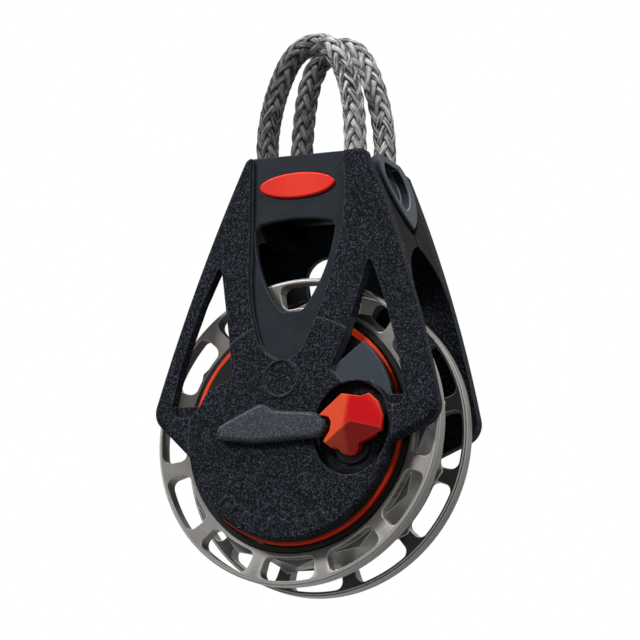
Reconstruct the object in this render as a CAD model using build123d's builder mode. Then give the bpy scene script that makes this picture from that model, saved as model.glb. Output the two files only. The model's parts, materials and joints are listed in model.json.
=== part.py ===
"""Single ratchet block with a lashed rope link, in millimetres.

The origin is the middle of the sheave. The sheave turns about Y, the front cheek
faces -Y, and +Z points along the pull, towards the rope link.
"""

import math
import os

from build123d import *

os.makedirs("parts", exist_ok=True)

# Sheave
SHEAVE_R = 27.5
SHEAVE_HALF = 7.1
FLANGE_T = 2.8
FLANGE_LIP = 0.25
FLANGE_DISH = 1.1
RIM_CHAMFER = 0.35
WINDOWS = 12
WINDOW_RIM = 0.85
WINDOW_SILL = 0.5
WINDOW_SPOKE = 2.4
WINDOW_CORNER = 1.4
WINDOW_CORNER_SHARE = 0.38
FRONT_WINDOW_TURN = -1.2
REAR_WINDOW_TURN = -1.2
TREAD_BORE_R = 21.85
TREAD_WALL = 0.6
TREAD_RIDGE = 1.45

# Ball races, cages and balls, one row behind each flange
BALL_R = 0.98
BALLS = 30
BALL_PITCH_R = 19.75
BALL_ROW = 4.1
BALL_PLAY = 0.02
RACE_INNER_END = 2.75
RACE_OUTER_END = 5.6
RACE_LIP_R = 20.4
SHIELD_IN_R = 20.7
SHIELD_END = 6.5
OUTER_RACE_GAP = 0.02
RACE_FIT = 0.02
COVER_R = 19.4
COVER_SHIFT = 0.35
COVER_T = 0.5
CAGE_HALF = 1.3
CAGE_WALL = 0.5
POCKET_PLAY = 0.06

# Ratchet ring and its teeth
TEETH = 36
TOOTH_TIP_R = 19.4
TOOTH_ROOT_R = 20.6
TOOTH_PHASE = -2.0
RATCHET_HALF = 2.4

# Hub drum
HUB_R = 17.6
HUB_WALL = 1.8
HUB_BOSS_R = 5.0
HUB_FLOOR = 2.8
BOLT_R = 2.5
BOLT_HEAD_R = 4.6
BOLT_HEAD_T = 2.4
BOLT_HEX_R = 2.3
SCREW_HEX_R = 1.3
HUB_SCREWS = 3
HUB_SCREW_PITCH_R = 11.0
HUB_SCREW_TURN = 30.0
SCREW_R = 1.5
SCREW_HEAD_R = 2.8
SCREW_HEAD_T = 1.5
SCREW_DEPTH = 3.6
FIT = 0.05

# Cheeks
CHEEK_IN = 7.5
CHEEK_T = 2.4
DISC_R = 19.9
DISC_PROUD = 0.2
DISC_IN = 7.2
CHEEK_EDGE = 0.9
HEAD_TOP = 49.9
HEAD_LEFT = 11.4
HEAD_RIGHT = 11.9
WAIST_LEFT = 20.4
WAIST_RIGHT = 21.3
WAIST_Z = 26.5
WING_LEFT = 27.6
WING_LEFT_Z = 2.9
WING_RIGHT = 28.8
WING_RIGHT_Z = 0.7
WING_INNER = 18.6
WING_LEFT_LOW_Z = -5.4
WING_RIGHT_LOW_Z = -3.7
WING_CORNER = 3.6
CHANNEL_DEPTH = 1.1
CHANNEL_TOP_LEFT = (-10.6, 52.0)
CHANNEL_LEFT = [(-9.7, 31.0), (-8.9, 22.0), (-7.0, 15.7)]
CHANNEL_LOW = [(-7.0, 15.7), (-4.4, 12.9), (-1.4, 12.0)]
CHANNEL_TURN = [(-1.4, 12.0), (0.6, 12.9), (2.8, 16.3)]
CHANNEL_RIGHT = [(2.8, 16.3), (5.6, 23.5), (7.5, 31.3)]
CHANNEL_HEAD = [(7.5, 31.3), (8.5, 37.6), (7.9, 48.0)]
CHANNEL_TOP_RIGHT = (7.9, 52.0)
FRONT_WINDOW = [(-9.3, 37.3), (-7.5, 27.8), (-3.3, 21.1), (0.8, 21.1), (4.5, 27.6), (6.6, 37.3)]
REAR_WINDOW = [(-4.2, 34.4), (-4.1, 28.0), (-2.2, 20.6), (2.4, 20.6), (6.7, 28.0), (6.9, 34.4)]
WINDOW_CROWN = 0.9
FRONT_WINDOW_TOP_CORNER = 1.7
REAR_WINDOW_TOP_CORNER = 4.0
WINDOW_LOW_CORNER = 1.7
SLOT_SHELF = 1.0
WEB_LIP_Z = 4.9
WEB_LIP_X = 16.5
SHELF_X = -19.0
SHELF_Z = 5.0
BLIND_SKIN = 0.8
WEB_DEPTH = 0.8
SIDE_WALL = 2.0
HEAD_CORNER = 1.6
DISC_EDGE = 0.45
STRIP_LOW_Z = 16.0
ARCH_SPRING_Z = 21.5
ARCH_TIP_Z = 33.6
RING_X = -2.0
RING_Z = 8.7
RING_R = 3.5
RING_W = 0.4
TICKS = 9
TICK_R = 17.4
TICK_START = -134.0
TICK_RANGE = 78.0
TICK_LONG = 1.9
TICK_WIDE = 0.55
TICK_H = 0.2
INSERT_R = 4.0
INSERT_T = 1.9

# Selector recess, knob and crank
STEM_X = 11.7
STEM_Z = -3.4
STEM_R = 2.1
RECESS_X = 12.0
RECESS_Z = -0.7
RECESS_HALF_X = 7.3
RECESS_HALF_Z = 8.3
RECESS_DEPTH = 2.1
BUSH_R = 2.8
TRACK_IN_R = 4.1
TRACK_OUT_R = 5.3
TRACK_H = 0.3
DIMPLE_X = 16.4
DIMPLE_Z = -3.7
DIMPLE_R = 0.95
DIMPLE_DEPTH = 0.4
COLLAR_R = 3.3
COLLAR_H = 0.35
KNOB_BACK = 9.3
KNOB_FRONT = 13.2
KNOB_STEM_FRONT = 11.0
KNOB_SWEEP_R = 5.3
KNOB_LIFT = 0.2
CRANK_R = 3.0
CRANK_T = 1.2
CRANK_PIN_R = 0.7
CRANK_THROW = 2.6
CRANK_GAP = 0.2
CRANK_SPIGOT_R = 1.3
THUMB_X = 17.4
THUMB_Y = 16.2
THUMB_R = 4.0
THUMB_LOW_Z = -0.2
THUMB_LONG = 3.0
GUARD_H = 1.5
GUARD_EDGE = 0.75
TRAVEL = 60.0

# Shift ring and pawls
SHIFT_RING_R = 8.6
SHIFT_RING_T = 2.0
SHIFT_ARM_R = 11.4
SHIFT_ARM_HALF = 2.0
SHIFT_SLOT_R = 8.75
SHIFT_SWING = 14.93
SHIFT_PIN_PITCH_R = 7.5
SHIFT_PIN_R = 0.7
SHIFT_PIN_LENGTH = 4.0
FORK_PLAY = 0.12
PAWL_PIVOT_R = 14.6
PAWL_PIN_R = 1.0
PAWL_PIN_SEAT = 3.0
PAWL_HALF = 2.1
PAWL_SIDE_GAP = 0.3
PAWL_BOSS_R = 1.9
PAWL_REACH = 7.2
PAWL_LEAN = 53.7
PAWL_SWING = 15.5
PAWL_TIP_HALF = 0.3
PAWL_TAIL_HALF = 1.45
PAWL_WINDOW_BACK = 13.0
PAWL_WINDOW_AHEAD = 31.0
PAWL_ANGLES = (75.0, 255.0)
SPRING_T = 0.3
SPRING_FOOT = 3.2
SPRING_LONG = 2.0
SPRING_LEAN = -16.0

# Head post and rope link
ROPE_R = 2.1
ROPE_X = 8.65
ROPE_Y = 6.1
ROPE_PLAY = 0.2
TURN_Z = 43.0
LINK_Z = 48.6
POST_CORE_R = 3.8
POST_TOP = 50.4
POST_FLANGE_X = 11.1
POST_PROUD = 0.8
LENS_TIP_Z = 36.7
LENS_HALF = 6.2
LENS_WIDE_Z = 45.0
LENS_TOP_Z = 50.2
LENS_GAP = 0.9
POST_EDGE = 0.4
POST_HOLLOW_Y = -0.5
POST_HOLLOW_HALF = 4.4
POST_HOLLOW_LOW_Z = 40.4
POST_HOLLOW_TOP_Z = 48.9
POST_HOLLOW_DEPTH = 1.8
POST_LUG_Z = 44.2
POST_LUG_HALF_X = 5.4
POST_LUG_HALF_Z = 3.2
HEAD_SCREWS_AT = [(-3.4, 44.2), (3.4, 44.2)]
HEAD_SCREW_BITE = 0.5
HEAD_SCREW_PROUD = 0.8

# Badge
BADGE_X = -1.3
BADGE_Z = 44.2
BADGE_HALF_X = 7.4
BADGE_HALF_Z = 2.35
BADGE_T = 0.7
BADGE_POCKET = 0.2
BADGE_EDGE = 0.35

WINDOW_OUT_R = SHEAVE_R - WINDOW_RIM
WINDOW_IN_R = TREAD_BORE_R + WINDOW_SILL
TREAD_LOW_R = TREAD_BORE_R + TREAD_WALL
TREAD_HIGH_R = TREAD_LOW_R + TREAD_RIDGE
LEFT_EDGE = (HEAD_LEFT, WAIST_LEFT, WING_LEFT, WING_LEFT_Z, WING_LEFT_LOW_Z)
RIGHT_EDGE = (HEAD_RIGHT, WAIST_RIGHT, WING_RIGHT, WING_RIGHT_Z, WING_RIGHT_LOW_Z)
CHEEK_OUT = CHEEK_IN + CHEEK_T
DISC_OUT = CHEEK_OUT + DISC_PROUD
RACE_TRACK_R = BALL_PITCH_R - BALL_R - BALL_PLAY
OUTER_TRACK_R = BALL_PITCH_R + BALL_R + BALL_PLAY
CRANK_ARM_ANGLE = math.degrees(math.atan2(STEM_Z, STEM_X)) - SHIFT_SWING / 2
CRANK_REST_ANGLE = math.degrees(math.atan2(-STEM_Z, -STEM_X)) + TRAVEL / 2
HUB_SCREWS_AT = [
    (
        HUB_SCREW_PITCH_R * math.cos(math.radians(HUB_SCREW_TURN + i * 360 / HUB_SCREWS)),
        HUB_SCREW_PITCH_R * math.sin(math.radians(HUB_SCREW_TURN + i * 360 / HUB_SCREWS)),
    )
    for i in range(HUB_SCREWS)
]
CHANNEL_Y = CHEEK_OUT - CHANNEL_DEPTH
WEB_Y = DISC_OUT - WEB_DEPTH
SHELF_Y = CHEEK_OUT - SLOT_SHELF
BLIND_Y = CHEEK_IN + BLIND_SKIN
RECESS_Y = DISC_OUT - RECESS_DEPTH


def facing(y):
    """Plane square to Y at -y, seen from the front: local x is X and local y is Z."""
    return Plane(origin=(0, -y, 0), x_dir=(1, 0, 0), z_dir=(0, -1, 0))


def polar(radius, degrees):
    """Point at this radius and angle, counter-clockwise from +X."""
    return (radius * math.cos(math.radians(degrees)), radius * math.sin(math.radians(degrees)))


def beside(spot, turn, along, across):
    """Point measured from a spot, along and across a direction turned by degrees."""
    c, s = math.cos(math.radians(turn)), math.sin(math.radians(turn))
    return (spot[0] + along * c - across * s, spot[1] + along * s + across * c)


def save(part, label):
    part.label = label
    export_step(part, "parts/" + label + ".step")
    print(label, "volume", round(part.volume, 1))


# ---------------------------------------------------------------- sheave
def window_sketch():
    """One flange window, centred straight down, between two spokes."""
    half = math.radians(180 / WINDOWS)
    side_in = WINDOW_IN_R * math.sin(half) - WINDOW_SPOKE / 2
    side_out = WINDOW_OUT_R * math.sin(half) - WINDOW_SPOKE / 2 - 0.25
    low_in = -math.sqrt(WINDOW_IN_R**2 - side_in**2)
    low_out = -math.sqrt(WINDOW_OUT_R**2 - side_out**2)
    with BuildSketch() as window:
        with BuildLine():
            ThreePointArc((-side_in, low_in), (0, -WINDOW_IN_R), (side_in, low_in))
            Line((side_in, low_in), (side_out, low_out))
            ThreePointArc((side_out, low_out), (0, -WINDOW_OUT_R), (-side_out, low_out))
            Line((-side_out, low_out), (-side_in, low_in))
        make_face()
        room = WINDOW_CORNER_SHARE * (WINDOW_OUT_R - WINDOW_IN_R)
        fillet(window.vertices(), min(WINDOW_CORNER, room))
    return window.sketch


def tread_outline(turn):
    """Closed zigzag whose high corners become the grip ridges."""
    step = 180 / WINDOWS
    radii = (TREAD_HIGH_R, TREAD_LOW_R)
    return [polar(radii[(i + turn) % 2], 90 + i * step) for i in range(2 * WINDOWS)]


window = window_sketch()
GROOVE_HALF = SHEAVE_HALF - FLANGE_T
FLANGE_BORE_R = TREAD_BORE_R - FLANGE_LIP
with BuildPart() as tread:
    for y, turn in ((GROOVE_HALF, 0), (-GROOVE_HALF, 1)):
        with BuildSketch(facing(y)):
            with BuildLine():
                Polyline(*tread_outline(turn), close=True)
            make_face()
    loft(ruled=True)
    Cylinder(TREAD_BORE_R, 3 * SHEAVE_HALF, rotation=(90, 0, 0), mode=Mode.SUBTRACT)

with BuildPart() as sheave:
    with BuildSketch(Plane.XY):
        with BuildLine():
            Polyline(
                (FLANGE_BORE_R, SHEAVE_HALF - FLANGE_DISH),
                (SHEAVE_R - 2 * RIM_CHAMFER, SHEAVE_HALF),
                (SHEAVE_R - RIM_CHAMFER, SHEAVE_HALF),
                (SHEAVE_R, SHEAVE_HALF - RIM_CHAMFER),
                (SHEAVE_R, GROOVE_HALF + RIM_CHAMFER),
                (SHEAVE_R - RIM_CHAMFER, GROOVE_HALF),
                (TREAD_BORE_R, GROOVE_HALF),
                (TREAD_BORE_R, RACE_OUTER_END),
                (FLANGE_BORE_R, RACE_OUTER_END),
                close=True,
            )
        make_face()
    revolve(axis=Axis.Y)
    mirror(about=Plane.XZ)
    for side, turn in ((1, FRONT_WINDOW_TURN), (-1, REAR_WINDOW_TURN)):
        with BuildSketch(facing(side * SHEAVE_HALF)):
            with PolarLocations(0, WINDOWS, start_angle=turn):
                add(window)
        extrude(amount=-side * FLANGE_T, mode=Mode.SUBTRACT)
    add(tread.part)
save(sheave.part, "sheave")

# ---------------------------------------------------------------- ratchet ring
tooth_points = []
for tooth in range(TEETH):
    for part_turn, radius in ((0.0, TOOTH_ROOT_R), (0.36, TOOTH_ROOT_R), (0.62, TOOTH_TIP_R), (0.8, TOOTH_TIP_R)):
        tooth_points.append(polar(radius, (tooth + part_turn) * 360 / TEETH + TOOTH_PHASE))

with BuildPart() as ratchet_ring:
    with BuildSketch(facing(RATCHET_HALF)):
        Circle(TREAD_BORE_R - FIT)
        with BuildLine():
            Polyline(*tooth_points, close=True)
        make_face(mode=Mode.SUBTRACT)
    extrude(amount=-2 * RATCHET_HALF)
save(ratchet_ring.part, "ratchet_ring")

# ---------------------------------------------------------------- bearings
for name, side in (("front", -1), ("rear", 1)):
    with BuildPart() as inner_race:
        with BuildSketch(Plane.XY):
            with BuildLine():
                Polyline(
                    (HUB_R + RACE_FIT, side * RACE_INNER_END),
                    (RACE_TRACK_R, side * RACE_INNER_END),
                    (RACE_TRACK_R, side * RACE_OUTER_END),
                    (RACE_LIP_R, side * RACE_OUTER_END),
                    (RACE_LIP_R, side * DISC_IN),
                    (HUB_R + RACE_FIT, side * DISC_IN),
                    close=True,
                )
            make_face()
        revolve(axis=Axis.Y)
        with BuildSketch(facing(-side * DISC_IN)):
            with Locations((-COVER_SHIFT, 0)):
                Circle(COVER_R)
        extrude(amount=side * COVER_T, mode=Mode.SUBTRACT)
    save(inner_race.part, name + "_inner_race")

    with BuildPart() as race_cover:
        with BuildSketch(facing(-side * DISC_IN)):
            with Locations((-COVER_SHIFT, 0)):
                Circle(COVER_R - RACE_FIT)
            Circle(HUB_R + RACE_FIT, mode=Mode.SUBTRACT)
        extrude(amount=side * COVER_T)
    save(race_cover.part, name + "_race_cover")

    with BuildPart() as outer_race:
        with BuildSketch(facing(-side * RACE_OUTER_END)):
            Circle(TREAD_BORE_R - OUTER_RACE_GAP)
            Circle(OUTER_TRACK_R, mode=Mode.SUBTRACT)
        extrude(amount=side * (RACE_OUTER_END - RACE_INNER_END))
        with BuildSketch(facing(-side * SHIELD_END)):
            Circle(FLANGE_BORE_R - FIT)
            Circle(SHIELD_IN_R, mode=Mode.SUBTRACT)
        extrude(amount=side * (SHIELD_END - RACE_OUTER_END))
    save(outer_race.part, name + "_outer_race")

    with BuildPart() as cage:
        with BuildSketch(facing(-side * (BALL_ROW + CAGE_HALF))):
            Circle(BALL_PITCH_R + CAGE_WALL)
            Circle(BALL_PITCH_R - CAGE_WALL, mode=Mode.SUBTRACT)
        extrude(amount=side * 2 * CAGE_HALF)
        with Locations((0, side * BALL_ROW, 0)):
            with Locations(Rotation(90, 0, 0)):
                with PolarLocations(BALL_PITCH_R, BALLS):
                    Cylinder(BALL_R + POCKET_PLAY, 4 * CAGE_WALL, rotation=(0, 90, 0), mode=Mode.SUBTRACT)
    save(cage.part, name + "_ball_cage")

    with BuildPart() as balls:
        with Locations((0, side * BALL_ROW, 0)):
            with Locations(Rotation(90, 0, 0)):
                with PolarLocations(BALL_PITCH_R, BALLS):
                    Sphere(BALL_R)
    save(balls.part, name + "_balls")

# ---------------------------------------------------------------- hub drum
HUB_END = DISC_IN
POCKET_R = HUB_R - HUB_WALL
with BuildPart() as hub_drum:
    with BuildSketch(facing(HUB_END)):
        Circle(HUB_R)
    extrude(amount=-2 * HUB_END)
    with BuildSketch(facing(HUB_END)):
        Circle(POCKET_R)
        Circle(HUB_BOSS_R, mode=Mode.SUBTRACT)
    extrude(amount=-(HUB_END + HUB_FLOOR), mode=Mode.SUBTRACT)
    for angle in PAWL_ANGLES:
        with BuildSketch(facing(PAWL_HALF + PAWL_SIDE_GAP)):
            with BuildLine():
                start, end = angle - PAWL_WINDOW_BACK, angle + PAWL_WINDOW_AHEAD
                Polyline(
                    polar(POCKET_R - 1, start),
                    polar(HUB_R + 3, start),
                    polar(HUB_R + 5, (start + end) / 2),
                    polar(HUB_R + 3, end),
                    polar(POCKET_R - 1, end),
                    close=True,
                )
            make_face()
        extrude(amount=-2 * (PAWL_HALF + PAWL_SIDE_GAP), mode=Mode.SUBTRACT)
        with BuildSketch(facing(-HUB_FLOOR)):
            with Locations(polar(PAWL_PIVOT_R, angle)):
                Circle(PAWL_PIN_R)
        extrude(amount=-PAWL_PIN_SEAT, mode=Mode.SUBTRACT)
    with BuildSketch(facing(HUB_END)):
        Circle(BOLT_R + FIT)
    extrude(amount=-2 * HUB_END, mode=Mode.SUBTRACT)
    with BuildSketch(facing(-HUB_END)):
        with Locations(*HUB_SCREWS_AT):
            Circle(SCREW_R + FIT)
    extrude(amount=SCREW_DEPTH, mode=Mode.SUBTRACT)
save(hub_drum.part, "hub_drum")

# ---------------------------------------------------------------- pawls
PAWL_TAIL = PAWL_PIVOT_R - SHIFT_PIN_PITCH_R
for name, angle in zip(("pawl_a", "pawl_b"), PAWL_ANGLES):
    pivot = polar(PAWL_PIVOT_R, angle)
    at_rest = angle + PAWL_SWING / 2
    lean = at_rest + PAWL_LEAN
    with BuildPart() as pawl:
        with BuildSketch(facing(PAWL_HALF)):
            with Locations(Location((*pivot, 0), (0, 0, at_rest))):
                Circle(PAWL_BOSS_R)
                with Locations((-PAWL_TAIL / 2, 0)):
                    Rectangle(PAWL_TAIL + 2 * SHIFT_PIN_R, 2 * PAWL_TAIL_HALF)
                with Locations((-PAWL_TAIL, 0)):
                    Rectangle(4 * SHIFT_PIN_R, 2 * (SHIFT_PIN_R + FORK_PLAY), mode=Mode.SUBTRACT)
            with BuildLine():
                Polyline(
                    beside(pivot, lean, 0, PAWL_BOSS_R),
                    beside(pivot, lean, PAWL_REACH, PAWL_TIP_HALF),
                    beside(pivot, lean, PAWL_REACH, -PAWL_TIP_HALF),
                    beside(pivot, lean, 0, -PAWL_BOSS_R),
                    close=True,
                )
            make_face()
            with Locations(pivot):
                Circle(PAWL_PIN_R + FIT, mode=Mode.SUBTRACT)
        extrude(amount=-2 * PAWL_HALF)
    save(pawl.part, name)

with BuildPart() as pawl_pins:
    for angle in PAWL_ANGLES:
        with BuildSketch(facing(PAWL_HALF + PAWL_SIDE_GAP)):
            with Locations(polar(PAWL_PIVOT_R, angle)):
                Circle(PAWL_PIN_R)
        extrude(amount=-(PAWL_HALF + PAWL_SIDE_GAP + HUB_FLOOR + PAWL_PIN_SEAT))
save(pawl_pins.part, "pawl_pins")

with BuildPart() as pawl_springs:
    for angle in PAWL_ANGLES:
        at_rest = angle + PAWL_SWING / 2 + PAWL_LEAN
        foot = polar(PAWL_PIVOT_R, angle)
        with BuildSketch(facing(PAWL_HALF)):
            with Locations(Location((*foot, 0), (0, 0, at_rest))):
                with Locations(Location((SPRING_FOOT, PAWL_BOSS_R, 0), (0, 0, SPRING_LEAN))):
                    Rectangle(SPRING_LONG, SPRING_T)
        extrude(amount=-(PAWL_HALF + HUB_FLOOR))
save(pawl_springs.part, "pawl_springs")

# ---------------------------------------------------------------- shift ring
SHIFT_FRONT = DISC_IN - CRANK_GAP - CRANK_T - CRANK_GAP
with BuildPart() as shift_ring:
    with BuildSketch(facing(SHIFT_FRONT)):
        Circle(SHIFT_RING_R)
        with Locations(Location((0, 0, 0), (0, 0, CRANK_ARM_ANGLE))):
            with Locations((SHIFT_ARM_R / 2, 0)):
                Rectangle(SHIFT_ARM_R, 2 * SHIFT_ARM_HALF)
            with Locations((SHIFT_ARM_R, 0)):
                Rectangle(2 * (SHIFT_ARM_R - SHIFT_SLOT_R), 2 * (CRANK_PIN_R + FORK_PLAY), mode=Mode.SUBTRACT)
        Circle(HUB_BOSS_R + FIT, mode=Mode.SUBTRACT)
    extrude(amount=-SHIFT_RING_T)
    with BuildSketch(facing(SHIFT_FRONT - SHIFT_RING_T)):
        for angle in PAWL_ANGLES:
            with Locations(polar(SHIFT_PIN_PITCH_R, angle - SHIFT_SWING / 2)):
                Circle(SHIFT_PIN_R)
    extrude(amount=-SHIFT_PIN_LENGTH)
save(shift_ring.part, "shift_ring")

# ---------------------------------------------------------------- head post
def lens_sketch(half, tip, top):
    """Leaf with its point at the bottom, in the YZ plane."""
    side_z = (tip + LENS_WIDE_Z) / 2
    with BuildSketch() as lens:
        with BuildLine():
            ThreePointArc((0, tip), (-0.72 * half, side_z), (-half, LENS_WIDE_Z))
            ThreePointArc((-half, LENS_WIDE_Z), (-0.9 * half, top - 1.6), (-0.62 * half, top))
            Line((-0.62 * half, top), (0.62 * half, top))
            ThreePointArc((0.62 * half, top), (0.9 * half, top - 1.6), (half, LENS_WIDE_Z))
            ThreePointArc((half, LENS_WIDE_Z), (0.72 * half, side_z), (0, tip))
        make_face()
    return lens.sketch


def post_half(edge):
    """Half of the post, whose leaf-shaped end follows one slanted side of the cheeks."""
    head, waist = edge[:2]
    side_plane = Plane(
        origin=(head + POST_PROUD, 0, HEAD_TOP), x_dir=(0, 1, 0), z_dir=(HEAD_TOP - WAIST_Z, 0, waist - head)
    )
    with BuildPart() as half:
        with BuildSketch(Plane.YZ):
            with BuildLine():
                ThreePointArc((-POST_CORE_R, TURN_Z), (0, TURN_Z - POST_CORE_R), (POST_CORE_R, TURN_Z))
                Line((POST_CORE_R, TURN_Z), (POST_CORE_R - 0.7, POST_TOP - 1.2))
                ThreePointArc(
                    (POST_CORE_R - 0.7, POST_TOP - 1.2), (0, POST_TOP), (0.7 - POST_CORE_R, POST_TOP - 1.2)
                )
                Line((0.7 - POST_CORE_R, POST_TOP - 1.2), (-POST_CORE_R, TURN_Z))
            make_face()
        extrude(amount=POST_FLANGE_X + 0.5)
        with BuildSketch(Plane.YZ.offset(POST_FLANGE_X)):
            add(lens_sketch(LENS_HALF, LENS_TIP_Z, LENS_TOP_Z))
        extrude(amount=POST_FLANGE_X)
        split(bisect_by=side_plane, keep=Keep.BOTTOM)
        slant = [f for f in half.faces() if f.normal_at().dot(side_plane.z_dir) > 0.99]
        fillet(slant[0].edges(), POST_EDGE)
        with BuildPart(mode=Mode.PRIVATE) as hollow:
            with BuildSketch(Plane.YZ.offset(POST_FLANGE_X - POST_HOLLOW_DEPTH)):
                with Locations((POST_HOLLOW_Y, 0)):
                    add(lens_sketch(POST_HOLLOW_HALF, POST_HOLLOW_LOW_Z, POST_HOLLOW_TOP_Z))
            extrude(amount=POST_FLANGE_X)
            split(bisect_by=side_plane.offset(-POST_HOLLOW_DEPTH), keep=Keep.TOP)
        add(hollow.part, mode=Mode.SUBTRACT)
        with BuildSketch(facing(CHEEK_IN)):
            with Locations((0, POST_LUG_Z)):
                Rectangle(2 * POST_LUG_HALF_X, 2 * POST_LUG_HALF_Z)
        extrude(amount=-2 * CHEEK_IN)
        split(bisect_by=Plane.YZ, keep=Keep.TOP)
    return half.part


with BuildPart() as head_post:
    add(mirror(post_half(LEFT_EDGE), about=Plane.YZ))
    add(post_half(RIGHT_EDGE))
    with BuildSketch(facing(CHEEK_IN)):
        with Locations(*HEAD_SCREWS_AT):
            Circle(SCREW_R + FIT)
    extrude(amount=-2 * CHEEK_IN, mode=Mode.SUBTRACT)
save(head_post.part, "head_post")


# ---------------------------------------------------------------- cheeks
def cheek_outline(left, right):
    """Cheek seen from its own side: head, waist and wings, without the disc."""
    with BuildSketch() as outline:
        with BuildLine():
            Line((-left[0], HEAD_TOP), (right[0], HEAD_TOP))
            ThreePointArc((right[0], HEAD_TOP), (right[1], WAIST_Z), (right[2], right[3]))
            Polyline(
                (right[2], right[3]),
                (WING_INNER, right[4]),
                (-WING_INNER, left[4]),
                (-left[2], left[3]),
            )
            ThreePointArc((-left[2], left[3]), (-left[1], WAIST_Z), (-left[0], HEAD_TOP))
        make_face()
        fillet(outline.vertices().group_by(Axis.Y)[-1], HEAD_CORNER)
        fillet(outline.vertices().sort_by(Axis.X)[0], WING_CORNER)
        fillet(outline.vertices().sort_by(Axis.X)[-1], WING_CORNER)
    return outline.sketch


def channel_sketch():
    """Smooth tongue that runs down the face from the head's top."""
    with BuildSketch() as channel:
        with BuildLine():
            Line(CHANNEL_TOP_LEFT, CHANNEL_LEFT[0])
            ThreePointArc(*CHANNEL_LEFT)
            ThreePointArc(*CHANNEL_LOW)
            ThreePointArc(*CHANNEL_TURN)
            ThreePointArc(*CHANNEL_RIGHT)
            ThreePointArc(*CHANNEL_HEAD)
            Polyline(CHANNEL_HEAD[-1], CHANNEL_TOP_RIGHT, CHANNEL_TOP_LEFT)
        make_face()
    return channel.sketch


def central_window_sketch(spots, top_corner):
    """Opening through the channel's floor, between the head and the hub."""
    left, left_waist, low_left, low_right, right_waist, right = spots
    with BuildSketch() as opening:
        with BuildLine():
            ThreePointArc(left, ((left[0] + right[0]) / 2, left[1] + WINDOW_CROWN), right)
            ThreePointArc(right, right_waist, low_right)
            Line(low_right, low_left)
            ThreePointArc(low_left, left_waist, left)
        make_face()
        fillet(opening.vertices().group_by(Axis.Y)[-1], top_corner)
        fillet(opening.vertices().group_by(Axis.Y)[0], WINDOW_LOW_CORNER)
    return opening.sketch


def left_window_sketch():
    """Tall slot between the left wing and the hub."""
    with BuildSketch() as slot:
        with BuildLine():
            ThreePointArc((-15.35, 30.6), (-20.4, 18.2), (-23.9, 2.7))
            Polyline((-23.9, 2.7), (-19.0, 2.7), (-16.4, 7.4), (-11.6, 9.3), (-15.35, 30.6))
        make_face()
        fillet(slot.vertices().sort_by(Axis.Y)[:2], 1.9)
        fillet(slot.vertices().sort_by_distance((-16.4, 7.4))[0], 3.0)
        fillet(slot.vertices().sort_by_distance((-11.6, 9.3))[0], 0.8)
        fillet(slot.vertices().sort_by(Axis.Y)[-1], 0.5)
    return slot.sketch


def right_window_sketch():
    """Wide opening on the selector's side, with a lip that dips round the race ring."""
    with BuildSketch() as slot:
        with BuildLine():
            Polyline((14.0, 30.2), (10.1, 16.1), (7.4, 9.9), (10.2, 7.0), (15.2, 7.6))
            ThreePointArc((15.2, 7.6), (17.2, 5.6), (18.4, 3.9))
            ThreePointArc((18.4, 3.9), (20.6, 3.0), (22.0, 4.6))
            ThreePointArc((22.0, 4.6), (19.6, 14.6), (14.0, 30.2))
        make_face()
        fillet(slot.vertices().sort_by(Axis.Y)[-1], 0.5)
        fillet(slot.vertices().sort_by_distance((10.1, 16.1))[0], 12.0)
    return slot.sketch


def web_sketch():
    """Parts of the right window that the hub's smooth web and the lip under it close."""
    with BuildSketch() as web:
        add(right_window_sketch())
        Circle(DISC_R, mode=Mode.INTERSECT)
        with BuildLine():
            Polyline((0, 4.6), (21.2, 20.8), (0, 30), close=True)
        make_face(mode=Mode.SUBTRACT)
    with BuildSketch() as lip:
        add(right_window_sketch())
        with Locations((WEB_LIP_X, WEB_LIP_Z)):
            Rectangle(WING_RIGHT, HEAD_TOP, mode=Mode.INTERSECT, align=(Align.MIN, Align.MAX))
    return web.sketch + lip.sketch


def side_strip(left, right):
    """Band just inside the cheek's slanted sides."""
    outline = cheek_outline(left, right)
    with BuildSketch() as strip:
        add(outline)
        offset(outline, amount=-SIDE_WALL, mode=Mode.SUBTRACT)
        with Locations(((right[0] - left[0]) / 2, HEAD_TOP)):
            Rectangle(left[0] + right[0] - 2 * SIDE_WALL, 3 * SIDE_WALL, mode=Mode.SUBTRACT)
        with Locations((0, STRIP_LOW_Z - HEAD_TOP / 2)):
            Rectangle(3 * WING_RIGHT, HEAD_TOP, mode=Mode.SUBTRACT)
    return strip.sketch


def side_arch():
    """Pointed opening between the two cheeks below the head, in the YZ plane."""
    with BuildSketch() as arch:
        with BuildLine():
            ThreePointArc((-CHEEK_IN, ARCH_SPRING_Z), (-0.79 * CHEEK_IN, 29.0), (0, ARCH_TIP_Z))
            ThreePointArc((0, ARCH_TIP_Z), (0.79 * CHEEK_IN, 29.0), (CHEEK_IN, ARCH_SPRING_Z))
            Polyline((CHEEK_IN, ARCH_SPRING_Z), (CHEEK_IN, 0), (-CHEEK_IN, 0), (-CHEEK_IN, ARCH_SPRING_Z))
        make_face()
    return arch.sketch


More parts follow.
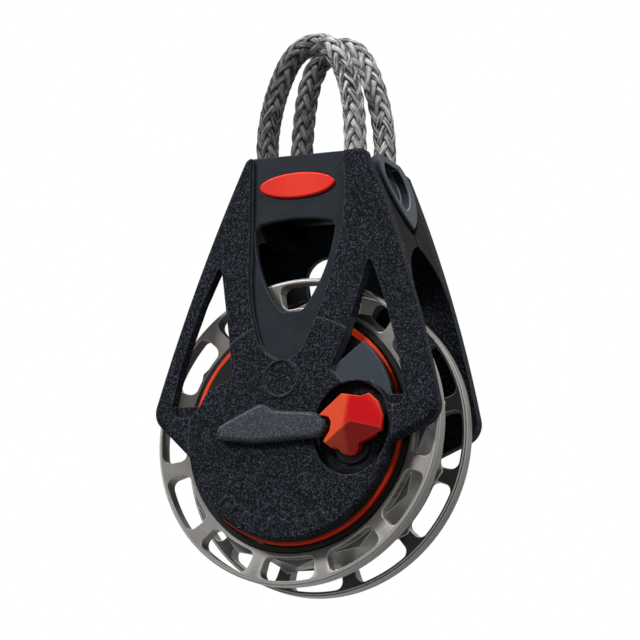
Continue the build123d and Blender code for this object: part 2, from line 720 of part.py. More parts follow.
def cheek_body(left, right, window, top_corner, blind):
    """Plate, disc, side walls, channel and windows; blind side windows keep a thin skin."""
    with BuildPart() as cheek:
        with BuildSketch(facing(CHEEK_IN)):
            add(cheek_outline(left, right))
            Circle(DISC_R)
        extrude(amount=CHEEK_T)
        sharp = [e for e in cheek.faces().sort_by(Axis.Y)[0].edges() if e.length > 0.5]
        fillet(sharp, CHEEK_EDGE)
        with BuildSketch(facing(DISC_IN)):
            Circle(DISC_R)
        extrude(amount=DISC_OUT - DISC_IN)
        fillet(cheek.faces().sort_by(Axis.Y)[0].edges(), DISC_EDGE)
        with BuildSketch(facing(CHEEK_IN)):
            add(side_strip(left, right))
        extrude(amount=-CHEEK_IN)
        with BuildSketch(Plane.YZ):
            add(side_arch())
            add(lens_sketch(LENS_HALF + LENS_GAP, LENS_TIP_Z - 1.4 * LENS_GAP, LENS_TOP_Z + 3 * LENS_GAP))
        extrude(amount=2 * WING_RIGHT, both=True, mode=Mode.SUBTRACT)
        with BuildSketch(facing(BLIND_Y if blind else SHELF_Y)):
            add(left_window_sketch())
        extrude(amount=DISC_OUT, mode=Mode.SUBTRACT)
        with BuildSketch(facing(CHANNEL_Y)):
            add(channel_sketch())
        extrude(amount=CHANNEL_DEPTH + 1, mode=Mode.SUBTRACT)
        with BuildSketch(facing(CHEEK_OUT)):
            add(central_window_sketch(window, top_corner))
        extrude(amount=-CHEEK_OUT, mode=Mode.SUBTRACT)
        with BuildSketch(facing(WEB_Y)):
            add(right_window_sketch())
        extrude(amount=DISC_OUT, mode=Mode.SUBTRACT)
        with BuildSketch(facing(WEB_Y)):
            add(right_window_sketch())
            add(web_sketch(), mode=Mode.SUBTRACT)
        extrude(amount=BLIND_Y - WEB_Y if blind else -WEB_Y, mode=Mode.SUBTRACT)
        if not blind:
            with BuildSketch(facing(SHELF_Y)):
                add(left_window_sketch())
                with Locations((SHELF_X - WING_LEFT / 2, SHELF_Z - HEAD_TOP / 2)):
                    Rectangle(WING_LEFT, HEAD_TOP, mode=Mode.SUBTRACT)
            extrude(amount=-SHELF_Y, mode=Mode.SUBTRACT)
        for x in (-ROPE_X, ROPE_X):
            with Locations((x, -ROPE_Y, TURN_Z)):
                Cylinder(
                    ROPE_R + ROPE_PLAY, HEAD_TOP, mode=Mode.SUBTRACT,
                    align=(Align.CENTER, Align.CENTER, Align.MIN),
                )
            with Locations((x, 0, TURN_Z)):
                Torus(ROPE_Y, ROPE_R + ROPE_PLAY, rotation=(0, 90, 0), mode=Mode.SUBTRACT)
    return cheek.part


with BuildPart() as front_cheek:
    add(cheek_body(LEFT_EDGE, RIGHT_EDGE, FRONT_WINDOW, FRONT_WINDOW_TOP_CORNER, False))
    with BuildSketch(facing(RECESS_Y)):
        with Locations((RECESS_X, RECESS_Z)):
            Ellipse(RECESS_HALF_X, RECESS_HALF_Z)
    extrude(amount=RECESS_DEPTH + 1, mode=Mode.SUBTRACT)
    with BuildSketch(facing(RECESS_Y)):
        with Locations((STEM_X, STEM_Z)):
            Circle(BUSH_R + FIT)
        with Locations((DIMPLE_X, DIMPLE_Z)):
            Circle(DIMPLE_R)
    extrude(amount=-DIMPLE_DEPTH, mode=Mode.SUBTRACT)
    with BuildSketch(facing(RECESS_Y)):
        with Locations((STEM_X, STEM_Z)):
            Circle(BUSH_R + FIT)
    extrude(amount=-RECESS_Y, mode=Mode.SUBTRACT)
    with BuildSketch(facing(RECESS_Y)):
        with Locations((STEM_X, STEM_Z)):
            Circle(TRACK_OUT_R)
            Circle(TRACK_IN_R, mode=Mode.SUBTRACT)
            with Locations((0, TRACK_OUT_R / 2 + STEM_R / 2)):
                Rectangle(4 * TRACK_OUT_R, TRACK_OUT_R + STEM_R, mode=Mode.SUBTRACT)
    extrude(amount=TRACK_H)
    with BuildSketch(facing(DISC_OUT)):
        with Locations((RING_X, RING_Z)):
            Circle(RING_R)
            Circle(RING_R - RING_W, mode=Mode.SUBTRACT)
        with PolarLocations(TICK_R, TICKS, start_angle=TICK_START, angular_range=TICK_RANGE):
            Rectangle(TICK_LONG, TICK_WIDE)
    extrude(amount=TICK_H)
    with BuildSketch(facing(CHANNEL_Y)):
        with Locations((BADGE_X, BADGE_Z)):
            Ellipse(BADGE_HALF_X + FIT, BADGE_HALF_Z + FIT)
    extrude(amount=-BADGE_POCKET, mode=Mode.SUBTRACT)
    with BuildSketch(facing(DISC_IN)):
        Circle(INSERT_R + FIT)
    extrude(amount=INSERT_T, mode=Mode.SUBTRACT)
    with BuildSketch(facing(CHEEK_IN)):
        with Locations(*HEAD_SCREWS_AT):
            Circle(SCREW_R + FIT)
    extrude(amount=HEAD_SCREW_BITE, mode=Mode.SUBTRACT)
save(front_cheek.part, "front_cheek")

HEAD_SEAT_Y = CHANNEL_Y + HEAD_SCREW_PROUD
with BuildPart() as rear_cheek:
    back = cheek_body(RIGHT_EDGE, LEFT_EDGE, REAR_WINDOW, REAR_WINDOW_TOP_CORNER, True)
    add(back.rotate(Axis.Z, 180))
    for y, spots, hole_r, head_r, head_t in (
        (DISC_OUT, [(0, 0)], BOLT_R, BOLT_HEAD_R, BOLT_HEAD_T),
        (DISC_OUT, HUB_SCREWS_AT, SCREW_R, SCREW_HEAD_R, SCREW_HEAD_T),
        (HEAD_SEAT_Y, HEAD_SCREWS_AT, SCREW_R, SCREW_HEAD_R, SCREW_HEAD_T),
    ):
        for x, z in spots:
            with Locations(Location((x, y, z), (-90, 0, 0))):
                CounterBoreHole(hole_r + FIT, head_r + FIT, head_t, depth=2 * CHEEK_OUT)
save(rear_cheek.part, "rear_cheek")

# ---------------------------------------------------------------- badge and guard
with BuildPart() as badge:
    with BuildSketch(facing(CHANNEL_Y - BADGE_POCKET)):
        with Locations((BADGE_X, BADGE_Z)):
            Ellipse(BADGE_HALF_X, BADGE_HALF_Z)
    extrude(amount=BADGE_T)
    fillet(badge.faces().sort_by(Axis.Y)[0].edges(), BADGE_EDGE)
save(badge.part, "badge")

with BuildPart() as switch_guard:
    with BuildSketch(facing(DISC_OUT)):
        with BuildLine():
            Polyline(
                (-13.7, 0.3), (-9.6, 2.3), (-5.0, 4.3), (-2.8, 2.9), (5.4, 2.1),
                (8.5, 0.1), (6.7, -2.3), (-5.8, -2.8), (-13.2, -1.9), close=True,
            )
        make_face()
        corners = vertices()
        fillet(corners.sort_by_distance((8.5, 0.1))[0], 1.1)
        fillet(vertices().sort_by_distance((5.4, 2.1))[0], 2.4)
        fillet(vertices().sort_by_distance((6.7, -2.3))[0], 1.8)
        fillet(vertices().sort_by_distance((-5.0, 4.3))[0], 2.0)
        fillet(vertices().sort_by_distance((-2.8, 2.9))[0], 2.6)
        fillet(vertices().sort_by_distance((-9.6, 2.3))[0], 9.0)
        fillet(vertices().sort_by_distance((-5.8, -2.8))[0], 9.0)
        fillet(vertices().sort_by_distance((-13.7, 0.3))[0], 1.3)
        fillet(vertices().sort_by_distance((-13.2, -1.9))[0], 1.0)
    extrude(amount=GUARD_H)
    fillet(switch_guard.faces().sort_by(Axis.Y)[0].edges(), GUARD_EDGE)
save(switch_guard.part, "switch_guard")

# ---------------------------------------------------------------- selector
with BuildPart() as selector_bush:
    with BuildSketch(facing(DISC_IN)):
        with Locations((STEM_X, STEM_Z)):
            Circle(BUSH_R)
    extrude(amount=RECESS_Y - DISC_IN)
    with BuildSketch(facing(RECESS_Y)):
        with Locations((STEM_X, STEM_Z)):
            Circle(COLLAR_R)
    extrude(amount=COLLAR_H)
    with BuildSketch(facing(RECESS_Y + COLLAR_H)):
        with Locations((STEM_X, STEM_Z)):
            Circle(STEM_R + FIT)
    extrude(amount=-2, mode=Mode.SUBTRACT)
save(selector_bush.part, "selector_bush")


def facet(a, b, c):
    """Plane through three points, with its outside towards -Y."""
    ab, ac = Vector(*b) - Vector(*a), Vector(*c) - Vector(*a)
    normal = ab.cross(ac).normalized()
    return Plane(origin=a, z_dir=normal if normal.Y < 0 else -normal)


CRANK_BACK = DISC_IN - CRANK_GAP - CRANK_T


def knob_sketch():
    """Lever's outline, pointed at the top with a finger rest on the left."""
    with BuildSketch() as lever:
        with BuildLine():
            Polyline(
                (6.4, 1.5), (8.8, 3.0), (11.4, 4.6), (14.8, 4.2), (16.0, 4.8), (17.5, 3.4),
                (18.5, 1.0), (18.4, -1.7), (15.2, -3.1), (11.2, -4.2), (8.7, -4.3),
                (7.5, -3.2), (8.9, -1.5), (9.2, 0.0), (8.5, 1.0), close=True,
            )
        make_face()
    return lever.sketch


with BuildPart() as selector_knob:
    with BuildSketch(facing(DISC_OUT + KNOB_LIFT)):
        add(knob_sketch())
    extrude(amount=KNOB_FRONT - DISC_OUT - KNOB_LIFT)
    with BuildSketch(facing(KNOB_BACK)):
        add(knob_sketch())
        with Locations((STEM_X, STEM_Z)):
            Circle(KNOB_SWEEP_R, mode=Mode.INTERSECT)
    extrude(amount=DISC_OUT + KNOB_LIFT - KNOB_BACK)
    split(bisect_by=facet((11.7, -KNOB_FRONT, 4.5), (13.0, -KNOB_FRONT, -0.6), (6.5, -11.4, 1.0)), keep=Keep.BOTTOM)
    split(bisect_by=facet((12.3, -KNOB_FRONT, 4.5), (13.6, -KNOB_FRONT, -0.6), (18.6, -11.2, 0.5)), keep=Keep.BOTTOM)
    with BuildSketch(facing(KNOB_STEM_FRONT)):
        with Locations((STEM_X, STEM_Z)):
            Circle(STEM_R)
    extrude(amount=KNOB_BACK - KNOB_STEM_FRONT)
    split(bisect_by=facet((13.0, -13.1, -0.55), (18.4, -11.6, -1.2), (9.0, -12.1, -2.6)), keep=Keep.BOTTOM)
    with BuildSketch(Plane.XY.offset(THUMB_LOW_Z)):
        with Locations((THUMB_X, -THUMB_Y)):
            Circle(THUMB_R)
    extrude(amount=THUMB_LONG, mode=Mode.SUBTRACT)
    with BuildSketch(facing(KNOB_BACK)):
        with Locations((STEM_X, STEM_Z)):
            Circle(STEM_R)
    extrude(amount=-(KNOB_BACK - DISC_IN + CRANK_GAP))
    with BuildSketch(facing(DISC_IN - CRANK_GAP)):
        with Locations((STEM_X, STEM_Z)):
            Circle(CRANK_SPIGOT_R)
    extrude(amount=-CRANK_T)
save(selector_knob.part, "selector_knob")

with BuildPart() as selector_crank:
    with BuildSketch(facing(DISC_IN - CRANK_GAP)):
        with Locations((STEM_X, STEM_Z)):
            Circle(CRANK_R)
            Circle(CRANK_SPIGOT_R, mode=Mode.SUBTRACT)
    extrude(amount=-CRANK_T)
    with BuildSketch(facing(CRANK_BACK)):
        with Locations((STEM_X, STEM_Z)):
            with Locations(polar(CRANK_THROW, CRANK_REST_ANGLE)):
                Circle(CRANK_PIN_R)
    extrude(amount=-(CRANK_GAP + SHIFT_RING_T))
save(selector_crank.part, "selector_crank")

# ---------------------------------------------------------------- fasteners
with BuildPart() as hub_bolt:
    with BuildSketch(facing(-DISC_OUT)):
        Circle(BOLT_HEAD_R)
        RegularPolygon(BOLT_HEX_R, 6, mode=Mode.SUBTRACT)
    extrude(amount=BOLT_HEAD_T)
    with BuildSketch(facing(-DISC_OUT + BOLT_HEAD_T / 2)):
        Circle(BOLT_HEAD_R - FIT)
    extrude(amount=BOLT_HEAD_T / 2)
    with BuildSketch(facing(-DISC_OUT + BOLT_HEAD_T)):
        Circle(BOLT_R)
    extrude(amount=DISC_OUT - BOLT_HEAD_T + DISC_IN + INSERT_T - FIT)
save(hub_bolt.part, "hub_bolt")

with BuildPart() as hub_insert:
    with BuildSketch(facing(DISC_IN)):
        Circle(INSERT_R)
        Circle(BOLT_R + RACE_FIT, mode=Mode.SUBTRACT)
    extrude(amount=INSERT_T)
save(hub_insert.part, "hub_insert")

for label, spots, head_y, length in (
    ("hub_screws", HUB_SCREWS_AT, DISC_OUT, DISC_OUT - HUB_END + SCREW_DEPTH - FIT),
    ("head_screws", HEAD_SCREWS_AT, HEAD_SEAT_Y, HEAD_SEAT_Y + CHEEK_IN + HEAD_SCREW_BITE - FIT),
):
    with BuildPart() as screws:
        with BuildSketch(facing(-head_y)):
            with Locations(*spots):
                Circle(SCREW_R)
        extrude(amount=length)
        with BuildSketch(facing(-head_y)):
            with Locations(*spots):
                Circle(SCREW_HEAD_R)
        extrude(amount=SCREW_HEAD_T)
        with BuildSketch(facing(-head_y)):
            with Locations(*spots):
                RegularPolygon(SCREW_HEX_R, 6)
        extrude(amount=SCREW_HEAD_T * 0.6, mode=Mode.SUBTRACT)
    save(screws.part, label)

# ---------------------------------------------------------------- rope link
FRONT_ROUTE = [
    (-ROPE_X, -ROPE_Y, LINK_Z), (-ROPE_X, -ROPE_Y, 53.1), (-8.2, -6.0, 59.2), (-7.1, -5.9, 64.4),
    (-5.9, -5.8, 69.2), (-2.3, -5.6, 72.6), (2.8, -5.5, 72.6), (6.3, -5.7, 69.3),
    (7.4, -5.8, 64.5), (8.3, -6.0, 59.3), (ROPE_X, -ROPE_Y, 53.1), (ROPE_X, -ROPE_Y, LINK_Z),
]
REAR_ROUTE = [
    (-ROPE_X, ROPE_Y, LINK_Z), (-ROPE_X, ROPE_Y, 53.2), (-7.9, 6.0, 59.4), (-6.7, 5.8, 64.9),
    (-5.3, 5.7, 70.0), (-1.7, 5.5, 73.3), (3.3, 5.4, 73.0), (6.6, 5.6, 69.5),
    (7.6, 5.8, 64.6), (8.2, 6.0, 59.3), (ROPE_X, ROPE_Y, 53.2), (ROPE_X, ROPE_Y, LINK_Z),
]


def bend_radii(points):
    """Largest tangent arc that each corner's two runs allow."""
    radii = []
    for a, b, c in zip(points, points[1:], points[2:]):
        first, second = Vector(*b) - Vector(*a), Vector(*c) - Vector(*b)
        half_turn = math.radians(first.get_angle(second)) / 2
        radii.append(0.45 * min(first.length, second.length) / math.tan(half_turn))
    return radii


for label, route in (("link_front_arch", FRONT_ROUTE), ("link_rear_arch", REAR_ROUTE)):
    radii = bend_radii(route)
    with BuildPart() as arch:
        with BuildLine() as path:
            FilletPolyline(*route, radius=radii)
        with BuildSketch(Plane.XY.offset(route[0][2])):
            with Locations(route[0][:2]):
                Circle(ROPE_R)
        sweep()
    length = sum(edge.length for edge in path.line.edges())
    print(label, "radii", [round(r, 1) for r in radii], "length", round(length, 1))
    print(label, "section x length", round(math.pi * ROPE_R**2 * length, 1))
    save(arch.part, label)

for label, x in (("link_left_turn", -ROPE_X), ("link_right_turn", ROPE_X)):
    with BuildPart() as turn:
        with BuildLine() as path:
            Line((x, -ROPE_Y, LINK_Z), (x, -ROPE_Y, TURN_Z))
            ThreePointArc((x, -ROPE_Y, TURN_Z), (x, 0, TURN_Z - ROPE_Y), (x, ROPE_Y, TURN_Z))
            Line((x, ROPE_Y, TURN_Z), (x, ROPE_Y, LINK_Z))
        with BuildSketch(Plane(origin=(x, -ROPE_Y, LINK_Z), z_dir=(0, 0, -1))):
            Circle(ROPE_R)
        sweep()
    save(turn.part, label)
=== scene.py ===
# %% [markdown]
# # A single ratchet block, dressed in Blender
#
# The block's solids come ready made: two moulded cheeks, a spoked alloy sheave, its ball
# races and ratchet, a red selector knob and the round stand-ins of a rope link. This
# lesson gives each of them its finish, softens the edges that catch the light, and braids
# the rope that the link is really made of.

# %% Load the frame
import json
import math

import bpy
from mathutils import Matrix, Vector
from mathutils.bvhtree import BVHTree

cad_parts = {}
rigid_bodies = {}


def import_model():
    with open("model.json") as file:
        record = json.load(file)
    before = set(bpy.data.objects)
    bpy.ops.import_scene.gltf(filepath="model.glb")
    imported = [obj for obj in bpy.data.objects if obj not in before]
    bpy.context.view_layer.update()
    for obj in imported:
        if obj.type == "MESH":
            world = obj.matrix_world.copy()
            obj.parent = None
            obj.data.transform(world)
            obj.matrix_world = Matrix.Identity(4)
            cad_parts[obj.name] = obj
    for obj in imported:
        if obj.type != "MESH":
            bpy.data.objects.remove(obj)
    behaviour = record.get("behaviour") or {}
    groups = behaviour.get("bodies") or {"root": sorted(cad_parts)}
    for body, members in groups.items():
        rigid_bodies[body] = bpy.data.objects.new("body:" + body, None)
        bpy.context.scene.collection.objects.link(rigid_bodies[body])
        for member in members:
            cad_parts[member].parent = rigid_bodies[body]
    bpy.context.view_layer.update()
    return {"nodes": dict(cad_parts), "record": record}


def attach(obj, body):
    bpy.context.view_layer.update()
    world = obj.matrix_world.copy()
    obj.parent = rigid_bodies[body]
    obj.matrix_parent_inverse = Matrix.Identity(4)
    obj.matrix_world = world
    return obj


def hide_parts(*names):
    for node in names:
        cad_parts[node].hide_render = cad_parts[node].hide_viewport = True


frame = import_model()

MM = 0.001
node_objects = {name: bpy.data.objects[name] for name in frame["nodes"]}
print("nodes ready for a finish:", len(node_objects))


def only(piece=None):
    """Deselect everything, then select and activate one piece."""
    for other in bpy.context.view_layer.objects:
        other.select_set(False)
    bpy.context.view_layer.objects.active = piece
    if piece is not None:
        piece.select_set(True)


# %% [markdown]
# ## Camera
# The block is seen from a little below its own middle and from its selector side, with a
# long lens, so that its near and far cheeks look almost the same size. The camera is
# built from three directions: where it looks from, what it calls right and what it calls
# up. It aims at the middle of the picture, so the lens needs no shift.

# %% Place the camera
FROM_BLOCK = Vector((0.44503, -0.87157, -0.20573)).normalized()
PICTURE_RIGHT = Vector((0.89411, 0.44534, 0.04744))
PICTURE_UP = Vector((0.05027, -0.20505, 0.97746))
CAMERA_AWAY = 0.6
AIM = PICTURE_RIGHT * 0.00101 + PICTURE_UP * 0.02094
SENSOR_WIDE = 36.0
FOCAL_LENGTH = 191.07
NEAREST_SEEN, FARTHEST_SEEN = 0.02, 20.0

spot = FROM_BLOCK * CAMERA_AWAY
back = (spot - AIM).normalized()
right = PICTURE_UP.cross(back).normalized()
up = back.cross(right)
lens_data = bpy.data.cameras.new("block_camera")
lens_data.sensor_width = SENSOR_WIDE
lens_data.lens = FOCAL_LENGTH
lens_data.clip_start = NEAREST_SEEN
lens_data.clip_end = FARTHEST_SEEN
camera = bpy.data.objects.new("block_camera", lens_data)
bpy.context.scene.collection.objects.link(camera)
turned = Matrix((right, up, back)).transposed().to_4x4()
camera.matrix_world = Matrix.Translation(spot) @ turned
bpy.context.scene.camera = camera
print("camera at", [round(v, 3) for v in spot])

# %% [markdown]
# ## The rope link: its route
# The link is one endless loop of 4.2 mm braid. It goes up and over as the front arch,
# down round the post inside the head, up and over as the rear arch and back down round
# the post. Each stretch is drawn as a smooth spline through a few control points, and
# the mesh of the bare spline then gives the line that the strands follow. The points are
# in millimetres, and those of a turn leave out X, which is the same all the way down.

# %% Routes of the four stretches
ROPE_X = 8.65
ROPE_Y = 6.1
LINK_Z = 48.6
FRONT_ARCH = [
    (-ROPE_X, -ROPE_Y, LINK_Z), (-9.2, -6.2, 52.2), (-9.0, -6.1, 56.8), (-8.3, -6.0, 61.2),
    (-7.0, -5.9, 65.4), (-5.5, -5.8, 68.8), (-3.3, -5.6, 71.0), (-0.3, -5.5, 71.7),
    (2.5, -5.6, 70.7), (4.5, -5.7, 68.1), (6.2, -5.8, 64.3), (7.6, -6.0, 59.6),
    (8.3, -6.1, 54.2), (ROPE_X, -ROPE_Y, LINK_Z),
]
REAR_ARCH = [
    (-ROPE_X, ROPE_Y, LINK_Z), (-8.5, 6.1, 53.6), (-8.4, 6.0, 59.2), (-8.0, 5.9, 64.8),
    (-7.1, 5.8, 69.2), (-5.2, 5.6, 72.5), (-2.4, 5.4, 74.3), (0.7, 5.4, 74.1),
    (3.2, 5.5, 72.0), (4.9, 5.7, 68.5), (6.3, 5.8, 64.9), (7.6, 6.0, 60.2),
    (8.5, 6.1, 54.2), (ROPE_X, ROPE_Y, LINK_Z),
]
TURN_SIDE = [
    (-ROPE_Y, LINK_Z), (-ROPE_Y, 44.8), (-ROPE_Y, 41.0), (-3.8, 37.8), (0.0, 36.6),
    (3.8, 37.8), (ROPE_Y, 41.0), (ROPE_Y, 44.8), (ROPE_Y, LINK_Z),
]
SPLINE_ORDER = 3
SPLINE_CUTS = 24


def spline_line(points):
    """Points in metres along a smooth spline with these control points in millimetres."""
    curve = bpy.data.curves.new("route", "CURVE")
    curve.dimensions = "3D"
    curve.resolution_u = SPLINE_CUTS
    spline = curve.splines.new("NURBS")
    spline.points.add(len(points) - 1)
    for handle, point in zip(spline.points, points):
        handle.co = (point[0] * MM, point[1] * MM, point[2] * MM, 1.0)
    spline.order_u = SPLINE_ORDER
    spline.use_endpoint_u = True
    drawn = bpy.data.objects.new("route", curve)
    bpy.context.scene.collection.objects.link(drawn)
    bpy.context.view_layer.update()
    bare = bpy.data.meshes.new_from_object(drawn)
    line = [vertex.co.copy() for vertex in bare.vertices]
    bpy.data.objects.remove(drawn)
    bpy.data.curves.remove(curve)
    bpy.data.meshes.remove(bare)
    return line


routes = {
    "link_front_braid": spline_line(FRONT_ARCH),
    "link_right_braid": spline_line([(ROPE_X, y, z) for y, z in TURN_SIDE]),
    "link_rear_braid": spline_line(REAR_ARCH)[::-1],
    "link_left_braid": spline_line([(-ROPE_X, -y, z) for y, z in TURN_SIDE]),
}


def line_length(line):
    """Length of a line of points."""
    return sum((b - a).length for a, b in zip(line, line[1:]))


for name, line in routes.items():
    print(name, "runs", round(line_length(line) * 1000, 1), "mm")

# %% [markdown]
# ## Sixteen strands
# A single braid has eight strands that wind one way and eight that wind the other. Each
# passes over two of its neighbours and then under two, and where the two families surface
# in turn round the rope, the eye reads rows of V shapes. A strand can be drawn with nothing
# but two waves: an angle that grows along the rope, and a radius that swells where the
# strand is on top. The rope's frame is carried along without twisting, and the little
# that is left over at the end of the loop is shared out, so the braid closes on itself.

# %% Shape of the braid
STRANDS_EACH_WAY = 8
LAY_LENGTH = 24.0 * MM
STRAND_RING = 1.46 * MM
STRAND_WAVE = 0.22 * MM
WAVE_FLATNESS = 0.7
WAVE_START = math.pi / 4
STRAND_HALF_WIDE = 0.66 * MM
STRAND_HALF_THICK = 0.42 * MM
CORE_R = 1.2 * MM
STEP = 0.42 * MM
AROUND = 10
TINTS = 16
TINT_STRIDE, TINT_SHIFT, TINTS_APART = 5, 3, 4
CAP_UV_STEP = 0.1


def even_line(line, step):
    """The same line cut into equal short steps, with its two ends kept."""
    total = line_length(line)
    count = max(2, round(total / step))
    walked, index, cut = 0.0, 0, []
    for number in range(count + 1):
        distance = total * number / count
        run = line[index + 1] - line[index]
        while index < len(line) - 2 and walked + run.length < distance:
            walked += run.length
            index += 1
            run = line[index + 1] - line[index]
        share = (distance - walked) / run.length if run.length else 0.0
        cut.append(line[index] + run * min(1.0, max(0.0, share)))
    return cut


def carried_frames(line):
    """Tangents and sides of a closed line, carried without twist, and the angle left over."""
    count = len(line)
    tangents = [(line[(i + 1) % count] - line[i - 1]).normalized() for i in range(count)]
    side = Vector((0.0, 1.0, 0.0))
    side = (side - tangents[0] * side.dot(tangents[0])).normalized()
    sides = [side]
    for before, after in zip(tangents, tangents[1:] + tangents[:1]):
        side = before.rotation_difference(after) @ side
        side = (side - after * side.dot(after)).normalized()
        sides.append(side)
    first, last = sides[0], sides.pop()
    slip = math.atan2(tangents[0].dot(first.cross(last)), first.dot(last))
    return tangents, sides, slip


loop, marks = [], {}
for name, route in routes.items():
    stretch = even_line(route, STEP)
    marks[name] = (len(loop), len(loop) + len(stretch) - 1)
    loop.extend(stretch[:-1])
tangents, sides, slip = carried_frames(loop)
walk = [0.0]
for a, b in zip(loop, loop[1:] + loop[:1]):
    walk.append(walk[-1] + (b - a).length)
whole = walk[-1]
lays = round(whole / LAY_LENGTH * STRANDS_EACH_WAY) / STRANDS_EACH_WAY
print("loop length", round(whole * 1000, 1), "mm,", round(lays, 2), "lays, slip", round(slip, 3))


def rope_frame(index):
    """Centre, tangent, two side directions and share of the way round at a loop point."""
    at = index % len(loop)
    round_trip = walk[at] / whole
    side = Matrix.Rotation(-slip * round_trip, 3, tangents[at]) @ sides[at]
    return loop[at], tangents[at], side, tangents[at].cross(side), round_trip + index // len(loop)


def strand_point(index, way, number):
    """Middle of one strand at a point of the loop, and the way out from the rope there."""
    centre, _, side, other, trip = rope_frame(index)
    angle = way * 2 * math.pi * lays * trip + number * 2 * math.pi / STRANDS_EACH_WAY
    lift = math.cos(STRANDS_EACH_WAY / 2 * angle - WAVE_START)
    radius = STRAND_RING + way * STRAND_WAVE * math.copysign(abs(lift) ** WAVE_FLATNESS, lift)
    outward = side * math.cos(angle) + other * math.sin(angle)
    return centre + outward * radius, outward


def strand_rings(first, last, way, number):
    """Rings of points along one strand, wide across the rope's surface and thin through it."""
    rings = []
    for index in range(first, last + 1):
        middle, outward = strand_point(index, way, number)
        ahead = strand_point(index + 1, way, number)[0] - strand_point(index - 1, way, number)[0]
        wide = outward.cross(ahead.normalized()).normalized()
        ring = []
        for corner in range(AROUND):
            turn = 2 * math.pi * corner / AROUND
            out = STRAND_HALF_THICK * math.sin(turn)
            ring.append(middle + wide * STRAND_HALF_WIDE * math.cos(turn) + outward * out)
        rings.append(ring)
    return rings


# %% [markdown]
# ## From strands to a rope
# Each stretch of rope becomes one mesh: sixteen strands and a plain core that stops
# daylight between them. Every strand carries a UV map whose U goes round it and whose V
# runs along it in strand widths, so that its fibres can be drawn later, and a number of
# its own that shifts the colour a little from strand to strand.

# %% Build the braided stretches
def skin_rings(rings, verts, faces, uvs, tint, tints):
    """Join rings into a closed tube and note each face's UVs and tint."""
    start = len(verts)
    wide, tall = 1 / AROUND, STEP / STRAND_HALF_WIDE / 2
    for ring in rings:
        verts.extend(ring)
    for row in range(len(rings) - 1):
        for corner in range(AROUND):
            a = start + row * AROUND + corner
            b = start + row * AROUND + (corner + 1) % AROUND
            faces.append((a, b, b + AROUND, a + AROUND))
            u, v = corner / AROUND, row * STEP / STRAND_HALF_WIDE / 2
            uvs.append([(u, v), (u + wide, v), (u + wide, v + tall), (u, v + tall)])
            tints.append(tint)
    for row, order in ((0, -1), (len(rings) - 1, 1)):
        cap = [start + row * AROUND + corner for corner in range(AROUND)][::order]
        faces.append(tuple(cap))
        uvs.append([(0.5, row * CAP_UV_STEP)] * AROUND)
        tints.append(tint)


def braid(name, first_tint):
    """One stretch of rope as a mesh piece."""
    first, last = marks[name]
    verts, faces, uvs, tints = [], [], [], []
    for way in (1, -1):
        for number in range(STRANDS_EACH_WAY):
            rings = strand_rings(first, last, way, number)
            shuffled = number * TINT_STRIDE + (way > 0) * TINT_SHIFT + first_tint
            tint = shuffled % TINTS / (TINTS - 1)
            skin_rings(rings, verts, faces, uvs, tint, tints)
    spokes = [2 * math.pi * i / AROUND for i in range(AROUND)]
    core = []
    for index in range(first, last + 1):
        centre, _, side, other, _ = rope_frame(index)
        core.append([centre + (side * math.cos(t) + other * math.sin(t)) * CORE_R for t in spokes])
    skin_rings(core, verts, faces, uvs, 0.0, tints)
    mesh = bpy.data.meshes.new(name)
    mesh.from_pydata([tuple(v) for v in verts], [], faces)
    layer = mesh.uv_layers.new(name="strand")
    for polygon, corners in zip(mesh.polygons, uvs):
        for loop_index, corner in zip(polygon.loop_indices, corners):
            layer.data[loop_index].uv = corner
    shade = mesh.attributes.new("strand_tint", "FLOAT", "FACE")
    for item, tint in zip(shade.data, tints):
        item.value = tint
    piece = bpy.data.objects.new(name, mesh)
    bpy.context.scene.collection.objects.link(piece)
    only(piece)
    bpy.ops.object.mode_set(mode="EDIT")
    bpy.ops.mesh.select_all(action="SELECT")
    bpy.ops.mesh.normals_make_consistent(inside=False)
    bpy.ops.object.mode_set(mode="OBJECT")
    bpy.ops.object.shade_smooth()
    only()
    print(name, len(mesh.polygons), "faces")
    return piece


braids = {name: braid(name, i * TINTS_APART) for i, name in enumerate(marks)}
for piece in braids.values():
    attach(piece, "block_frame")
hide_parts("link_front_arch")
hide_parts("link_rear_arch")
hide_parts("link_left_turn")
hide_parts("link_right_turn")
for name in ("link_front_braid", "link_rear_braid"):
    path = routes[name]
    line_length(path)

# %% [markdown]
# ## Edges that catch the light
# No moulded or machined edge is perfectly sharp. A solid from CAD can be, and then its
# edges look cut from paper. So each piece that shows is copied, its loose triangles are
# merged and its flat faces cleaned, and a Bevel modifier rounds every edge over by a tenth
# or two of a millimetre. It also gives the faces of the rounding a material slot of their
# own: that number is kept as an attribute, so that the finishes can paint a highlight on
# the edges.
# Where many short edges meet, a corner can shoot past the surface, and every point that
# left it by more than half the width is put back on the solid's own skin. The large flat
# faces keep their straight normals with a Weighted Normal modifier. The copy then stands
# for the solid and moves with the same body.

# %% Rounded copies of the solids that show
EDGE_ROUNDING = {
    "front_cheek": 0.18, "rear_cheek": 0.18, "head_post": 0.22, "badge": 0.12,
    "switch_guard": 0.2, "selector_knob": 0.14, "sheave": 0.14,
    "front_inner_race": 0.08, "rear_inner_race": 0.08,
}
ROUNDING_SEGMENTS = 2
SAME_POINT = 2e-6
FLAT_UP_TO = math.radians(0.6)
SMOOTH_UP_TO = math.radians(30)
ROUND_FROM = math.radians(32)
SMOOTH_AT_LAST = math.radians(50)
STRAYED = 0.5

body_of_node = {
    node: body for body, nodes in frame["record"]["behaviour"]["bodies"].items() for node in nodes
}


